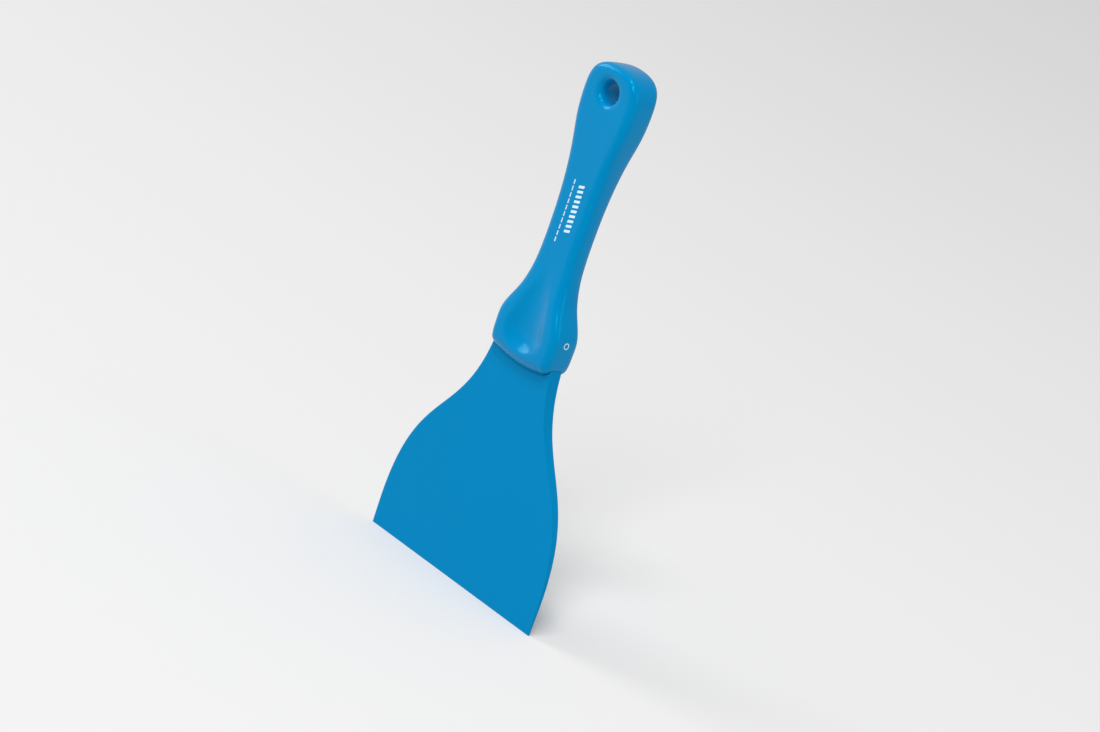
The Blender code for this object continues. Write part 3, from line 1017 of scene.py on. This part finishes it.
# %% World
ROOM = (1.0, 1.0, 1.0)
ROOM_DARK = (0.40, 0.40, 0.40)
ROOM_STRENGTH = 0.47
DARK_SIDE = Vector((0.653, -0.705, 0.276))
DARK_START = 0.35
DARK_FULL = 0.85


def make_room():
    """A pale room with one darker side, mixed by direction."""
    world = bpy.data.worlds.new("studio")
    bpy.context.scene.world = world
    world.use_nodes = True
    tree = world.node_tree
    link = tree.links.new
    background = tree.nodes["Background"]
    background.inputs["Strength"].default_value = ROOM_STRENGTH
    direction = add(tree, "ShaderNodeTexCoord", (-900, 0)).outputs["Generated"]
    toward = add(tree, "ShaderNodeVectorMath", (-700, 0), operation="DOT_PRODUCT")
    toward.inputs[1].default_value = DARK_SIDE
    link(direction, toward.inputs[0])
    near = add(tree, "ShaderNodeMapRange", (-500, 0), interpolation_type="SMOOTHSTEP")
    near.inputs["From Min"].default_value = DARK_START
    near.inputs["From Max"].default_value = DARK_FULL
    link(toward.outputs["Value"], near.inputs["Value"])
    tone = add(tree, "ShaderNodeMix", (-250, 0), data_type="RGBA")
    tone.inputs["A"].default_value = (*ROOM, 1)
    tone.inputs["B"].default_value = (*ROOM_DARK, 1)
    link(near.outputs["Result"], tone.inputs["Factor"])
    link(tone.outputs["Result"], background.inputs["Color"])


make_room()
print("room strength", ROOM_STRENGTH)

# %% Lamps
LAMP_DISTANCE = 3.2
middle = (cad_box[0] + cad_box[1]) / 2


def aim(thing, place, target):
    """Put a lamp at a place and turn it to a target."""
    thing.location = place
    thing.rotation_euler = (Vector(target) - Vector(place)).to_track_quat("-Z", "Y").to_euler()


def soft_box(name, direction, size, power):
    """A square lamp in a direction from the tool's middle."""
    data = bpy.data.lights.new(name, "AREA")
    data.shape = "SQUARE"
    data.size = size
    data.energy = power
    lamp = bpy.data.objects.new(name, data)
    bpy.context.scene.collection.objects.link(lamp)
    aim(lamp, middle + Vector(direction).normalized() * LAMP_DISTANCE, middle)
    return lamp


def sky_lamp(direction, strength, spread):
    """A broad lamp far away, for the soft shadow."""
    data = bpy.data.lights.new("broad_key", "SUN")
    data.energy = strength
    data.angle = math.radians(spread)
    lamp = bpy.data.objects.new("broad_key", data)
    bpy.context.scene.collection.objects.link(lamp)
    aim(lamp, middle + Vector(direction), middle)
    return lamp


soft_box("soft_box_above", (0.06, -0.43, 0.89), 0.70, 36)
soft_box("soft_box_right", (0.38, -0.47, 0.80), 0.40, 15)
soft_box("soft_box_left", (-0.85, -0.45, 0.40), 1.60, 38)
soft_box("soft_box_side", (1.0, 0.15, 0.35), 1.60, 16)
sky_lamp((0.42, -0.70, 0.55), 1.25, 18)
print("lamps placed")

# %% Camera
FOCAL_LENGTH = 147.3
SENSOR_WIDTH = 36
VIEW_END = 50
EYE = Vector((1.2891, -1.3760, 0.6490))
RIGHT = Vector((0.6282, 0.7082, 0.3223))
UP = Vector((-0.4228, -0.0370, 0.9055))


def make_camera():
    """A long lens, tilted sideways so that the handle leans to the right."""
    data = bpy.data.cameras.new("camera")
    data.lens = FOCAL_LENGTH
    data.sensor_width = SENSOR_WIDTH
    data.clip_end = VIEW_END
    camera = bpy.data.objects.new("camera", data)
    bpy.context.scene.collection.objects.link(camera)
    back = RIGHT.cross(UP).normalized()
    upright = back.cross(RIGHT).normalized()
    turn = Matrix((RIGHT.normalized(), upright, back)).transposed()
    camera.matrix_world = Matrix.Translation(EYE) @ turn.to_4x4()
    bpy.context.scene.camera = camera
    return camera


camera = make_camera()
bpy.context.scene.view_settings.view_transform = "Standard"
print("camera at", [round(v, 3) for v in camera.location])

# %% Finish: deselect everything and update the scene
fresh_start()
bpy.context.view_layer.update()
